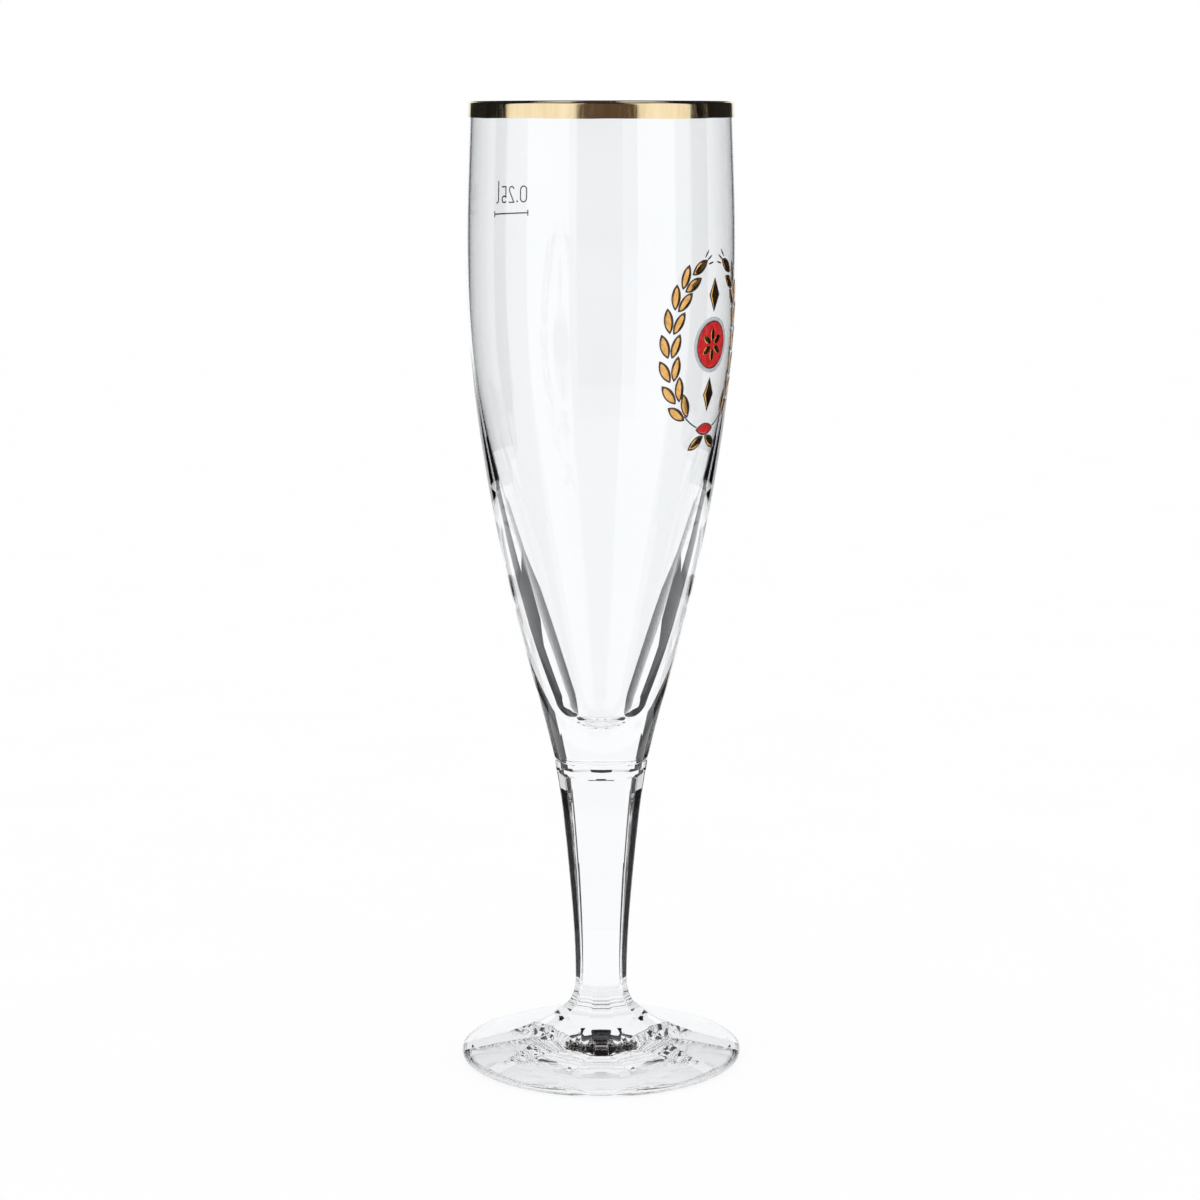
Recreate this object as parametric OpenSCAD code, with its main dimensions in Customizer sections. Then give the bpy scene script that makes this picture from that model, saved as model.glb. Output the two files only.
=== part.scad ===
// Stemmed pilsner glass for a quarter of a litre: a blown bowl welded to a pressed stem and foot,
// with a gold lip and fired prints. Millimetres, the table at z = 0, the front towards -Y.

/* [Whole glass] */
// Height from the table to the lip
glass_h = 241; // [238:0.5:248]
// Number of flats round the stem and the foot
flats = 10; // [8, 10, 12]

/* [Bowl] */
// Height of the weld between the bowl and the stem
weld_z = 77.7; // [76.5:0.1:79]
// Diameter of the bowl and the collar at the weld
weld_d = 23.6; // [23.2:0.1:25]
// Width and depth of the fine groove round the weld
weld_groove = 0.2; // [0.1:0.05:0.3]
// Widest diameter of the bowl
belly_d = 66.6; // [64:0.1:70]
// Drop from the lip to the widest place
belly_drop = 35; // [29:0.5:39]
// Outside diameter at the lip
rim_d = 64.6; // [62:0.1:68]
// Thickness of the wall at the lip and at the widest place
wall_t = 1; // [0.8:0.05:1.4]
// Thickness of solid glass between the weld and the drink
base_t = 9; // [7:0.1:11]
// Diameter of the rounded floor of the cup
well_d = 17.2; // [14:0.1:18]
// Rise of the rounded floor from its middle to its edge
well_h = 7.3; // [5:0.1:8]

/* [Stem] */
// Height of the round collar under the weld
collar_h = 3.7; // [3:0.1:5]
// Diameter at the foot of the collar
collar_d = 22.8; // [22.6:0.1:23.2]
// Distance across the flats just under the collar
stem_top_w = 21.4; // [20:0.1:21.6]
// Distance across the flats at the waist
waist_w = 12.6; // [11:0.1:14]
// Height of the waist, where the stem meets the foot
waist_z = 20.2; // [18.5:0.1:22]

/* [Foot] */
// Diameter of the foot
foot_d = 71.2; // [66:0.1:76]
// Thickness of the rounded edge of the foot
edge_t = 2.6; // [2:0.1:3.2]
// Distance across the flats where the flare turns into the slope of the foot
flare_w = 23.7; // [21:0.1:25]
// Height where the flare turns into the slope of the foot
flare_z = 10.5; // [9.6:0.1:11.4]
// Width of the flat ring under the edge, on which the foot stands
stand_w = 0.8; // [0.4:0.1:3]
// Height of the hollow in the middle of the underside
hollow_h = 3.6; // [1:0.1:4.2]

/* [Gold rim] */
// Height of the gold band on the outside of the lip
band_h = 3.7; // [2:0.1:6]
// Thickness of the gold
gold_t = 0.06; // [0.05:0.01:0.1]

/* [Capacity mark] */
// Drop from the lip to the capacity line
fill_drop = 28; // [21:0.5:33]
// Direction of the mark, turned from the front towards +X
mark_azimuth = -134.5; // [-180:0.5:180]
// Length of the capacity line round the wall
mark_w = 12.2; // [9:0.1:15]
// Height of the ticks at the ends of the line
tick_h = 1.5; // [1:0.1:2.5]
// Height of the figures
figure_h = 4.3; // [3.5:0.1:5.5]
// Gap between the line and the figures
figure_gap = 2.6; // [2:0.1:4]
// Width of the printed strokes
stroke_w = 0.34; // [0.25:0.01:0.45]

/* [Print] */
// Thickness of the fired prints
print_t = 0.08; // [0.06:0.01:0.12]
// Direction of the print, turned from the front towards +X
print_azimuth = 55; // [-180:0.5:180]
// Drop from the lip to the middle of the print
print_drop = 57.5; // [52:0.5:62]
// Width of the wreath between the middles of its two ears
wreath_w = 28; // [26:0.5:32]
// Height of the wreath between the middles of its ears
wreath_h = 41; // [38:0.5:44]
// Pairs of grains on each ear
grain_pairs = 7; // [6:1:7]
// Length of a grain
grain_l = 5; // [4:0.1:5.4]
// Width of a grain
grain_w = 2; // [1.5:0.1:2.1]
// Width of the dark outlines
outline_w = 0.32; // [0.2:0.02:0.4]
// Diameter of the red medallion
medallion_d = 11; // [9:0.2:12]
// Width of the silver ring round the medallion
ring_w = 0.9; // [0.6:0.1:1.2]
// Height of the lozenges above and below the medallion
lozenge_h = 7; // [5:0.1:8]
// Width of the lozenges
lozenge_w = 3.6; // [2.6:0.1:4.4]
// Length of the bristles at the tips of the ears
bristle_l = 2.4; // [1.6:0.1:2.6]
// Width of the red tie at the bottom of the wreath
tie_w = 6; // [5:0.1:7]
// Height of the red tie
tie_h = 2.4; // [1.8:0.1:2.8]

/* [Hidden] */
$fn = 96;

// Steps along each drawn curve
wall_steps = 30;
upper_steps = 8;
lip_steps = 10;
well_steps = 8;
stem_steps = 18;
flare_steps = 12;
slope_steps = 12;
nose_steps = 10;
hollow_steps = 12;

// Handles of the drawn curves, as shares of the way from their start to their end
wall_low_shares = [0.31, 0.21];
wall_high_shares = [1, 0.57];
upper_low_shares = [0, 0.33];
upper_high_shares = [0.67, 0.67];
cup_low_shares = [0.97, 0.58];
cup_high_shares = [1, 0.72];
well_low_shares = [0.67, 0];
well_high_shares = [0.88, 0.51];
stem_low_shares = [0, 0.28];
stem_high_shares = [0.62, 0.82];
flare_low_shares = [0, 0.52];
flare_high_shares = [0.3, 0.77];
slope_low_shares = [0.2, 0.3];
slope_high_shares = [0.47, 0.62];

// Bowl
weld_r = weld_d / 2;
belly_r = belly_d / 2;
belly_z = glass_h - belly_drop;
rim_r = rim_d / 2;
lip_r = wall_t / 2;
lip_z = glass_h - lip_r;
floor_z = weld_z + base_t;
well_r = well_d / 2;

// Stem and foot: the shoulder where the flats run out leans by as much as it rises
collar_r = collar_d / 2;
collar_z = weld_z - collar_h;
stem_top_r = stem_top_w / 2;
waist_r = waist_w / 2;
shoulder = weld_r - stem_top_r + weld_groove;
foot_r = foot_d / 2;
nose_r = edge_t / 2;
flare_r = flare_w / 2;
hollow_r = foot_r - nose_r - stand_w;

// The corners between the flats come down to the rounded edge where it is at its thickest
slope_r = (foot_r - nose_r) * cos(180 / flats);
nose_end = 45;

// Capacity mark: room for one figure, then widths and places as shares of it
fill_z = glass_h - fill_drop;
line_pieces = 6;
figure_room_share = 0.238;
pitch = mark_w * figure_room_share;
nought_share = 0.8;
figure_share = 0.68;
point_share = 0.16;
hook_share = 0.36;
litre_share = 1.32;
place_shares = [-1.6, -0.88, -0.2, 0.75, 1.55];
figure_steps = 10;

// Print: the ears follow an oval, measured in degrees up from its bottom
print_z = glass_h - print_drop;
wreath_half = [wreath_w / 2, wreath_h / 2];
ear_start = 42;
ear_end = 156;
ear_step = (ear_end - ear_start) / grain_pairs;
stalk_end = 35;
stalk_steps = 6;
grain_lean = 20;
bristle_fan = 20;
row_share = 0.62;
bristle_share = 0.18;
leaf_lean = 60;
leaf_drop_share = 1.35;
medallion_r = medallion_d / 2;
petals = 6;
petal_l_share = 0.62;
petal_w_share = 0.46;
petal_place_share = 0.72;
lozenge_place_share = 0.62;
lozenge_y = medallion_r + ring_w + outline_w * 4 + lozenge_h * lozenge_place_share;

// Points on a curve from a to d, drawn towards b and c
function curve(a, b, c, d, steps) = [
    for (i = [0:steps])
        let (t = i / steps, u = 1 - t)
            u * u * u * a + 3 * u * u * t * b + 3 * u * t * t * c + t * t * t * d
];

// A place part of the way from a to d, with a share for the radius and one for the height
function part_way(a, d, shares) = [
    a[0] + (d[0] - a[0]) * shares[0],
    a[1] + (d[1] - a[1]) * shares[1]
];

// A curve whose handles lie at shares of the way
function swept(a, d, low, high, steps) =
    curve(a, part_way(a, d, low), part_way(a, d, high), d, steps);

function reversed(points) = [for (i = [len(points) - 1:-1:0]) points[i]];
function tail(points) = [for (i = [1:len(points) - 1]) points[i]];
function shifted(points, by) = [for (p = points) [p[0] + by, p[1]]];

// Points of an arc about a centre
function arc_points(centre, radius, from, to, steps) = [
    for (i = [0:steps])
        let (a = from + (to - from) * i / steps)
            centre + radius * [cos(a), sin(a)]
];

// Outside of the bowl from the weld to the lip, as radius and height
outer_wall = concat(
    swept([weld_r, weld_z + weld_groove], [belly_r, belly_z],
        wall_low_shares, wall_high_shares, wall_steps),
    tail(swept([belly_r, belly_z], [rim_r, lip_z],
        upper_low_shares, upper_high_shares, upper_steps))
);

// Inside of the cup from the middle of its floor to the lip
inner_wall = concat(
    swept([0, floor_z], [well_r, floor_z + well_h],
        well_low_shares, well_high_shares, well_steps),
    tail(swept([well_r, floor_z + well_h], [belly_r - wall_t, belly_z],
        cup_low_shares, cup_high_shares, wall_steps)),
    tail(swept([belly_r - wall_t, belly_z], [rim_r - wall_t, lip_z],
        upper_low_shares, upper_high_shares, upper_steps))
);

// Outside radius of the bowl at a height
function wall_r(z) = lookup(z, [for (p = outer_wall) [p[1], p[0]]]);

// The stretch of the outside between two heights
function wall_between(low, high) = concat(
    [[wall_r(low), low]],
    [for (p = outer_wall) if (p[1] > low && p[1] < high) p],
    [[wall_r(high), high]]
);

// A bar with flat sides whose outline from the middle to one side is given, cut from all flats
module with_flats(side) {
    mirrored = [for (p = reversed(side)) [-p[0], p[1]]];
    intersection_for (i = [0:flats / 2 - 1])
        rotate([0, 0, 90 + i * 360 / flats])
            rotate([90, 0, 0])
                linear_extrude(height = foot_d, center = true)
                    polygon(concat(side, mirrored));
}

module bowl() {
    lip_top = arc_points([rim_r - lip_r, lip_z], lip_r, 0, 180, lip_steps);
    color([0.86, 0.93, 0.95, 0.4])
        rotate_extrude()
            polygon(concat(
                [[0, weld_z], [weld_r - weld_groove, weld_z]],
                outer_wall,
                tail(lip_top),
                tail(reversed(inner_wall))
            ));
}

module stem() {
    side = concat(
        swept([waist_r, waist_z], [stem_top_r, collar_z],
            stem_low_shares, stem_high_shares, stem_steps),
        [[stem_top_r + shoulder, collar_z + shoulder], [stem_top_r + shoulder, weld_z]]
    );
    color([0.84, 0.92, 0.94, 0.5])
        intersection() {
            with_flats(side);
            rotate_extrude()
                polygon([
                    [0, waist_z],
                    [collar_r, waist_z],
                    [collar_r, collar_z],
                    [weld_r, weld_z - weld_groove],
                    [weld_r - weld_groove, weld_z],
                    [0, weld_z]
                ]);
        }
}

// The foot: flats that sweep down from the waist, cut round at the edge, over a hollow underside
module foot() {
    flare = swept([waist_r, waist_z], [flare_r, flare_z],
        flare_low_shares, flare_high_shares, flare_steps);
    slope = swept([flare_r, flare_z], [slope_r, edge_t],
        slope_low_shares, slope_high_shares, slope_steps);
    last = slope[slope_steps] - slope[slope_steps - 1];
    beyond = slope[slope_steps] + last * (foot_r - slope_r) / last[0];
    side = concat([[foot_r, -edge_t], beyond], reversed(slope), tail(reversed(flare)));
    hollow = [
        for (i = [0:hollow_steps])
            let (share = i / hollow_steps)
                [hollow_r * share, hollow_h * (1 - share * share)]
    ];
    nose = arc_points([foot_r - nose_r, nose_r], nose_r, -90, nose_end, nose_steps);
    nose_top = nose[nose_steps];
    color([0.82, 0.91, 0.93, 0.5])
        intersection() {
            with_flats(side);
            rotate_extrude()
                polygon(concat(hollow, nose, [[0, nose_top[1] + nose_top[0] / tan(nose_end)]]));
        }
}

module gold_rim() {
    centre = [rim_r - lip_r, lip_z];
    side = wall_between(glass_h - band_h, lip_z);
    under = concat(side, tail(arc_points(centre, lip_r, 0, 180, lip_steps)));
    over = concat(shifted(side, gold_t),
        tail(arc_points(centre, lip_r + gold_t, 0, 180, lip_steps)));
    color("goldenrod")
        rotate_extrude()
            polygon(concat(under, reversed(over)));
}

// The skin of a fired print on the outside of the bowl between two heights
module skin(low, high) {
    side = wall_between(low, high);
    rotate_extrude()
        polygon(concat(side, reversed(shifted(side, print_t))));
}

// A flat drawing set on the wall, x along the wall to the viewer's right and y up
module on_wall(azimuth, z, x, lean = 0) {
    radius = wall_r(z);
    depth = wall_t * 2;
    rotate([0, 0, azimuth + x / radius * 180 / PI])
        translate([0, depth - radius, z])
            rotate([90, 0, 0])
                linear_extrude(height = depth * 2)
                    rotate(lean)
                        children();
}

// Direction across a path at one of its corners, long enough for a stroke of even width
function across_corner(path, i) =
    let (
        last = len(path) - 1,
        into = path[max(i, 1)] - path[max(i, 1) - 1],
        out = path[min(i, last - 1) + 1] - path[min(i, last - 1)],
        side_in = [-into[1], into[0]] / norm(into),
        side_out = [-out[1], out[0]] / norm(out),
        middle = (side_in + side_out) / norm(side_in + side_out)
    )
    middle / (middle * side_in);

// A stroke of even width along a path
module stroke(path) {
    half = stroke_w / 2;
    left = [for (i = [0:len(path) - 1]) path[i] + across_corner(path, i) * half];
    right = [for (i = [0:len(path) - 1]) path[i] - across_corner(path, i) * half];
    polygon(concat(left, reversed(right)));
}

// Points round an upright oval with straight sides
function oval_points(width, height) = concat(
    arc_points([0, (height - width) / 2], width / 2, 0, 180, figure_steps),
    arc_points([0, (width - height) / 2], width / 2, 180, 360, figure_steps)
);

module nought(width) {
    translate([0, figure_h / 2])
        difference() {
            polygon(oval_points(width, figure_h));
            polygon(oval_points(width - stroke_w * 2, figure_h - stroke_w * 2));
        }
}

module two(width) {
    radius = (width - stroke_w) / 2;
    base_y = stroke_w / 2;
    crown = arc_points([0, figure_h - radius - base_y], radius, 170, -35, figure_steps);
    stroke(concat(crown, [[-radius, base_y]]));
    stroke([[-width / 2, base_y], [width / 2, base_y]]);
}

module five(width) {
    radius = (width - stroke_w) / 2;
    top_y = figure_h - stroke_w / 2;
    belly = arc_points([0, radius + stroke_w / 2], radius, 140, -145, figure_steps);
    stroke([[width / 2, top_y], [belly[0][0], top_y], belly[0] - [0, stroke_w / 2]]);
    stroke(belly);
}

module litre(width) {
    radius = width - stroke_w;
    hook = arc_points([radius, radius + stroke_w / 2], radius, 180, 280, figure_steps);
    stroke(concat([[0, figure_h * litre_share]], hook));
}

module fill_line() {
    half = mark_w / 2;
    piece_w = mark_w / line_pieces;
    color([0.10, 0.09, 0.14])
        intersection() {
            skin(fill_z - tick_h, fill_z + tick_h);
            union() {
                for (i = [0:line_pieces - 1])
                    on_wall(mark_azimuth, fill_z, (i + 0.5) * piece_w - half)
                        square([piece_w + stroke_w, stroke_w], center = true);
                for (side = [-1, 1])
                    on_wall(mark_azimuth, fill_z, side * half)
                        square([stroke_w, tick_h], center = true);
            }
        }
}

module fill_figures() {
    base_z = fill_z + figure_gap;
    color([0.10, 0.09, 0.14])
        intersection() {
            skin(base_z - stroke_w, base_z + figure_h * litre_share + stroke_w);
            union() {
                on_wall(mark_azimuth, base_z, place_shares[0] * pitch)
                    nought(nought_share * pitch);
                on_wall(mark_azimuth, base_z, place_shares[1] * pitch)
                    translate([0, stroke_w])
                        square(point_share * pitch, center = true);
                on_wall(mark_azimuth, base_z, place_shares[2] * pitch)
                    two(figure_share * pitch);
                on_wall(mark_azimuth, base_z, place_shares[3] * pitch)
                    five(figure_share * pitch);
                on_wall(mark_azimuth, base_z, place_shares[4] * pitch)
                    litre(hook_share * pitch);
            }
        }
}

// A pointed grain or petal, upright about its middle
module grain(length, width) {
    radius = (length * length + width * width) / (4 * width);
    intersection() {
        translate([radius - width / 2, 0])
            circle(r = radius);
        translate([width / 2 - radius, 0])
            circle(r = radius);
    }
}

// The line round a grain
module grain_outline(length, width) {
    difference() {
        grain(length + outline_w * 4, width + outline_w * 2);
        grain(length, width);
    }
}

module lozenge(grow = 0) {
    half_w = lozenge_w / 2 + grow;
    half_h = lozenge_h / 2 + grow * lozenge_h / lozenge_w;
    polygon([[half_w, 0], [0, half_h], [-half_w, 0], [0, -half_h]]);
}

// Place on the oval of the wreath and the direction in which it climbs there
function on_oval(s) = [wreath_half[0] * sin(s), -wreath_half[1] * cos(s)];
function climb(s) = atan2(wreath_half[1] * sin(s), wreath_half[0] * cos(s));

// Puts its children on the wall at every grain of the two ears
module at_grains() {
    spread = grain_w * row_share + outline_w;
    for (side = [-1, 1])
        for (i = [0:grain_pairs - 1])
            let (s = ear_start + i * ear_step, across = climb(s) - 90)
                for (row = [-1, 1])
                    let (place = on_oval(s) + spread * row * [cos(across), sin(across)])
                        on_wall(print_azimuth, print_z + place[1], side * place[0],
                            side * (across - grain_lean * row))
                            children();
}

// Puts its children on the wall at the tip of each ear
module at_ear_tips() {
    tip = on_oval(ear_end);
    for (side = [-1, 1])
        on_wall(print_azimuth, print_z + tip[1], side * tip[0], side * (climb(ear_end) - 90))
            children();
}

// Puts its children on the wall at the two leaves under the tie
module at_leaves() {
    leaf_z = print_z - wreath_half[1] - tie_h * leaf_drop_share;
    for (side = [-1, 1])
        on_wall(print_azimuth, leaf_z, side * tie_w / 2, side * leaf_lean)
            children();
}

// Puts its children on the wall at the tie
module at_tie() {
    on_wall(print_azimuth, print_z - wreath_half[1], 0)
        children();
}

// Puts its children on the wall at the middle of the medallion
module at_medallion() {
    on_wall(print_azimuth, print_z, 0)
        children();
}

// Puts its children on the wall above and below the medallion
module at_lozenges() {
    for (side = [-1, 1])
        on_wall(print_azimuth, print_z + side * lozenge_y, 0)
            children();
}

module rosette() {
    petal_l = medallion_r * petal_l_share;
    for (i = [0:petals - 1])
        rotate(i * 360 / petals)
            translate([0, petal_l * petal_place_share])
                grain(petal_l, petal_l * petal_w_share);
}

module tie() {
    rotate(90)
        grain(tie_w, tie_h);
}

module tie_outline() {
    rotate(90)
        grain_outline(tie_w, tie_h);
}

// The two stalks, from inside the outline of the tie to the first grains
module stalks() {
    start = asin((tie_w / 2 + outline_w) / wreath_half[0]);
    path = [
        for (i = [0:stalk_steps])
            on_oval(start + (stalk_end - start) * i / stalk_steps) + [0, wreath_half[1]]
    ];
    for (side = [0, 1])
        mirror([side, 0])
            stroke(path);
}

// Fine bristles beyond the last grain of an ear
module bristles() {
    root = grain_l / 2 + outline_w;
    for (turn = [-1:1])
        rotate(turn * bristle_fan)
            translate([0, root + bristle_l / 2])
                grain(bristle_l, bristle_l * bristle_share);
}

// Keeps what its children cut from the skin of a print
module printed(colour) {
    reach = wreath_half[1] + grain_l * 1.5;
    color(colour)
        intersection() {
            skin(print_z - reach, print_z + reach);
            union()
                children();
        }
}

module print_gold() {
    printed("goldenrod") {
        at_grains()
            grain(grain_l, grain_w);
        at_ear_tips()
            grain(grain_l, grain_w);
        at_leaves()
            grain(grain_l, grain_w);
        at_medallion()
            rosette();
        at_lozenges()
            lozenge();
    }
}

module print_dark() {
    printed([0.16, 0.10, 0.07]) {
        at_grains()
            grain_outline(grain_l, grain_w);
        at_ear_tips() {
            grain_outline(grain_l, grain_w);
            bristles();
        }
        at_leaves()
            grain_outline(grain_l, grain_w);
        at_tie() {
            tie_outline();
            stalks();
        }
        at_lozenges()
            difference() {
                lozenge(outline_w);
                lozenge();
            }
        at_medallion()
            difference() {
                circle(r = medallion_r + outline_w);
                circle(r = medallion_r);
            }
    }
}

module print_red() {
    printed([0.80, 0.06, 0.07]) {
        at_medallion()
            difference() {
                circle(r = medallion_r);
                rosette();
            }
        at_tie()
            tie();
    }
}

module print_silver() {
    inner = medallion_r + outline_w;
    printed([0.66, 0.67, 0.70])
        at_medallion()
            difference() {
                circle(r = inner + ring_w);
                circle(r = inner);
            }
}

bowl();
stem();
foot();
gold_rim();
fill_line();
fill_figures();
print_gold();
print_dark();
print_red();
print_silver();
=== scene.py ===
"""Stemmed pilsner glass: a blown bowl on a pressed stem and foot, a gold lip and fired prints.

Lengths are in metres, the table is at z = 0 and the camera's side is towards -Y. The pieces repeat
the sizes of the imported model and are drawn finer, because clear glass shows every facet.
"""
import bisect
import math

import bmesh
import bpy
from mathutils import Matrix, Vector


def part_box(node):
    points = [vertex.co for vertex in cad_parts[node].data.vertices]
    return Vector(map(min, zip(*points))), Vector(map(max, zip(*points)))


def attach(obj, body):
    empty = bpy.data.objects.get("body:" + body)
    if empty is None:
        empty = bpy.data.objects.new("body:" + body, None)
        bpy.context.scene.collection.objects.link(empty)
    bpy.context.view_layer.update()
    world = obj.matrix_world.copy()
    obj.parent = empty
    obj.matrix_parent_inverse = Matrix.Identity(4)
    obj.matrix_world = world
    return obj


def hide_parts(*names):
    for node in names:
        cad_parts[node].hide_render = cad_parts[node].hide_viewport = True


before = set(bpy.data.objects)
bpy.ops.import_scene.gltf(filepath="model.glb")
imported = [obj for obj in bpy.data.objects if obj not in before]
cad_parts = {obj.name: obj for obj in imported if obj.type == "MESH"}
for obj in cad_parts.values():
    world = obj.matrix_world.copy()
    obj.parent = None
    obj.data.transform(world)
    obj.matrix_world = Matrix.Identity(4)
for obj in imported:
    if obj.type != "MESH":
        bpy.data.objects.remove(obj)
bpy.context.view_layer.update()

MM = 0.001

# Limits: points that merge, points on a flat, faces at a seam, and how level those faces are
MERGE = MM / 1000
ON_FLAT = MM / 1e4
SEAM_REACH = 0.01 * MM
LEVEL = 0.999

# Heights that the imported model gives
GLASS_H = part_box("bowl")[1].z
WELD_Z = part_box("bowl")[0].z
WAIST_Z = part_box("stem")[0].z
TABLE_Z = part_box("foot")[0].z

# Bowl
WELD_R = 11.8 * MM
WELD_GROOVE = 0.12 * MM
BELLY_R = 33.3 * MM
BELLY_DROP = 35 * MM
RIM_R = 32.3 * MM
WALL_T = 1 * MM
BASE_T = 9 * MM
WELL_R = 8.6 * MM
WELL_H = 7.3 * MM
WALL_LOW_SHARES, WALL_HIGH_SHARES = (0.31, 0.21), (1, 0.57)
UPPER_LOW_SHARES, UPPER_HIGH_SHARES = (0, 0.33), (0.67, 0.67)
CUP_LOW_SHARES, CUP_HIGH_SHARES = (0.97, 0.58), (1, 0.72)
WELL_LOW_SHARES, WELL_HIGH_SHARES = (0.67, 0), (0.88, 0.51)
WALL_STEPS, UPPER_STEPS, LIP_STEPS, WELL_STEPS = 110, 24, 12, 20
AROUND = 224
SMOOTH = 40

# Stem
FLATS = 10
COLLAR_H = 3.7 * MM
COLLAR_R = 11.4 * MM
COLLAR_SWELL, COLLAR_STEP_H = 0.05 * MM, 1 * MM
STEM_TOP_W = 21.4 * MM
WAIST_W = 12.6 * MM
STEM_LOW_SHARES, STEM_HIGH_SHARES = (0, 0.28), (0.62, 0.82)
ARRIS = 0.4 * MM
ARRIS_STEPS = 6
FLAT_CUTS = 11
STEM_STEPS = 60
STEM_SMOOTH = 28

# Foot
FOOT_R = 35.6 * MM
EDGE_T = 2.6 * MM
FLARE_W = 23.7 * MM
FLARE_Z = 10.5 * MM
FLARE_LOW_SHARES, FLARE_HIGH_SHARES = (0, 0.52), (0.3, 0.77)
SLOPE_LOW_SHARES, SLOPE_HIGH_SHARES = (0.2, 0.3), (0.47, 0.62)
FLARE_STEPS, SLOPE_STEPS, EDGE_STEPS, NOSE_STEPS, UNDER_STEPS = 44, 40, 8, 14, 40
HOLLOW_H = 3.6 * MM
HOLLOW_R = 33.5 * MM
HALVINGS = 30
FOOT_SMOOTH = 50

# Gold rim; its lower edge wanders by height, waves round the rim and shift of each wave
BAND_H = 3.7 * MM
GOLD_T = 0.06 * MM
EMBED = 0.01 * MM
BAND_STEPS = 24
BAND_WAVES = ((0.05, 3, 1), (0.04, 8, 0), (0.02, 21, 2))

# Capacity mark
FILL_Z = GLASS_H - 28 * MM
MARK_AZIMUTH = -134.5
MARK_W = 12.2 * MM
TICK_H = 1.5 * MM
FIGURE_H = 4.3 * MM
FIGURE_GAP = 2.6 * MM
STROKE_W = 0.34 * MM
PITCH = MARK_W * 0.238
NOUGHT_SHARE, FIGURE_SHARE, POINT_SHARE, HOOK_SHARE, LITRE_SHARE = 0.8, 0.68, 0.16, 0.36, 1.32
PLACE_SHARES = (-1.6, -0.88, -0.2, 0.75, 1.55)
CROWN_TURN, BELLY_TURN, HOOK_TURN = (170, -35), (140, -145), (180, 280)
NOUGHT_STEPS, BEND_STEPS, HOOK_STEPS = 40, 20, 10

# Print; the grids give the faces along and across each patch of a drawing
PRINT_T = 0.08 * MM
PRINT_AZIMUTH = 55
PRINT_Z = GLASS_H - 57.5 * MM
WREATH_HALF = (14 * MM, 20.5 * MM)
EAR_START, EAR_END, GRAIN_PAIRS = 42, 156, 7
STALK_END, STALK_STEPS = 35, 12
GRAIN_L, GRAIN_W, GRAIN_LEAN = 5 * MM, 2 * MM, 20
LINE_W = 0.32 * MM
ROW_SHARE = 0.62
BRISTLE_L, BRISTLE_SHARE, BRISTLE_FAN = 2.4 * MM, 0.18, 20
LEAF_LEAN, LEAF_DROP_SHARE = 60, 1.35
MEDALLION_R = 5.5 * MM
RING_W = 0.9 * MM
PETALS = 6
PETAL_L = MEDALLION_R * 0.62
PETAL_W = PETAL_L * 0.46
PETAL_OUT = PETAL_L * 0.72
LOZENGE_H, LOZENGE_W, LOZENGE_PLACE_SHARE = 7 * MM, 3.6 * MM, 0.62
TIE_W, TIE_H = 6 * MM, 2.4 * MM
LONGEST_STEP = 0.6 * MM
GRAIN_GRID, OUTLINE_GRID, BRISTLE_GRID, TIE_GRID = (10, 4), (28, 1), (8, 2), (12, 4)
RED_GRID, DARK_RING_GRID, SILVER_RING_GRID = (26, 8), (60, 1), (60, 2)

# Glass; a cloud is a noise with its scale, detail and stretch
IOR = 1.51
GLASS_SHADOW = (0.94, 0.955, 0.96)
TINT_CLOUD, TINT_LOW, TINT_HIGH = (30, 2), (0.986, 0.993, 0.996), (0.995, 0.998, 1)
FILM_CLOUD, FILM_SPREAD, FILM = (260, 5), (0.6, 0.8), 0.002
WAVE_CLOUD, WAVE_H, WAVES = (90, 1, (1, 1, 0.35)), 0.1 * MM, 0.002

# Fired layers, each with its dark colour, its light colour and whether it is metal
MOTTLE_CLOUD, GLOSS_CLOUD, PRINT_GLOSS = (900, 4), (420, 3), (0.1, 0.26)
GRAIN_CLOUD, GRAIN_BUMP, GRAIN_DEPTH = (5200, 2), 0.25, 0.01 * MM
ENAMEL_COAT = 0.4
LAYERS = {
    "mark_enamel": ((0.03, 0.028, 0.04), (0.07, 0.065, 0.09), 0),
    "print_gold": ((0.72, 0.36, 0.1), (0.95, 0.58, 0.22), 1),
    "dark_enamel": ((0.03, 0.018, 0.012), (0.08, 0.045, 0.03), 0),
    "red_enamel": ((0.5, 0.012, 0.015), (0.74, 0.03, 0.03), 0),
    "silver_enamel": ((0.46, 0.47, 0.5), (0.64, 0.65, 0.68), 0),
}
BAND_DARK, BAND_LIGHT, BAND_GLOSS = (0.88, 0.68, 0.39), (0.98, 0.83, 0.56), (0.07, 0.2)
STREAK_CLOUD, FINE_STREAK_CLOUD = (300, 3, (1, 1, 0.12)), (1500, 2, (1, 1, 0.1))
STREAK_BUMP, STREAK_DEPTH = 0.35, 0.02 * MM

# Camera
CAMERA_PLACE = (-0.3 * MM, -741.4 * MM, 246.65 * MM)
CAMERA_PITCH = 9.85
SENSOR_W = 36
CAMERA_LENS = 90.19
CLIP = (0.01, 20)

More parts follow.
